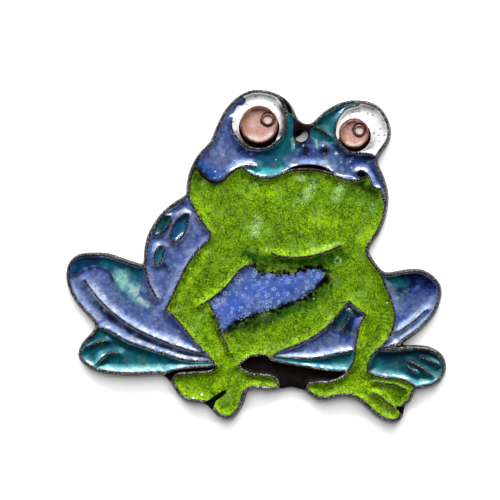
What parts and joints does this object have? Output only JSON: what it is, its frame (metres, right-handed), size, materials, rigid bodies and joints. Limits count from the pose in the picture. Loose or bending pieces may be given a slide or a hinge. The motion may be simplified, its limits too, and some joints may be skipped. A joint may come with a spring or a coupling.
{
  "type": "enamelled frog pendant",
  "caption": "Flat cast-metal frog pendant with coloured glass enamel between raised walls, domed eyes and a hanging hole between the eyes.",
  "frame": {"origin": "centre of the back face's box, on the surface the pendant lies on", "axes": "+Z out of the enamelled face, +Y toward the head, +X toward the viewer's right"},
  "size_m": [0.0544, 0.0476, 0.0031],
  "materials": {
    "oxidised_metal": "dark oxidised cast metal, worn bright along the edges",
    "periwinkle_enamel": "glossy fired enamel, mottled",
    "navy_enamel": "glossy transparent fired enamel",
    "teal_enamel": "glossy transparent fired enamel",
    "green_enamel": "glossy fired enamel with fine dark crackle",
    "white_enamel": "glossy fired enamel with pinholes",
    "copper_pink_enamel": "clear fired enamel over bright copper"
  },
  "bodies": {
    "root": {"cast_plate": "oxidised_metal", "cast_walls": "oxidised_metal", "eye_rings": "oxidised_metal", "head_blue": "periwinkle_enamel", "head_teal": "teal_enamel", "snout_blue": "periwinkle_enamel", "brow_teal": "teal_enamel", "left_eye_white": "white_enamel", "left_pupil": "copper_pink_enamel", "left_glint": "copper_pink_enamel", "right_eye_white": "white_enamel", "right_pupil": "copper_pink_enamel", "right_glint": "copper_pink_enamel", "green_body": "green_enamel", "belly_blue": "periwinkle_enamel", "back_blue": "periwinkle_enamel", "back_spot_upper": "teal_enamel", "back_spot_middle": "teal_enamel", "back_spot_lower": "teal_enamel", "left_thigh_navy": "navy_enamel", "left_thigh_blue": "periwinkle_enamel", "left_foot_teal": "teal_enamel", "inner_thigh_teal": "teal_enamel", "inner_thigh_blue": "periwinkle_enamel", "inner_foot_teal": "teal_enamel", "right_thigh_navy": "navy_enamel", "right_thigh_blue": "periwinkle_enamel", "right_foot_teal": "teal_enamel"}
  },
  "joints": []
}
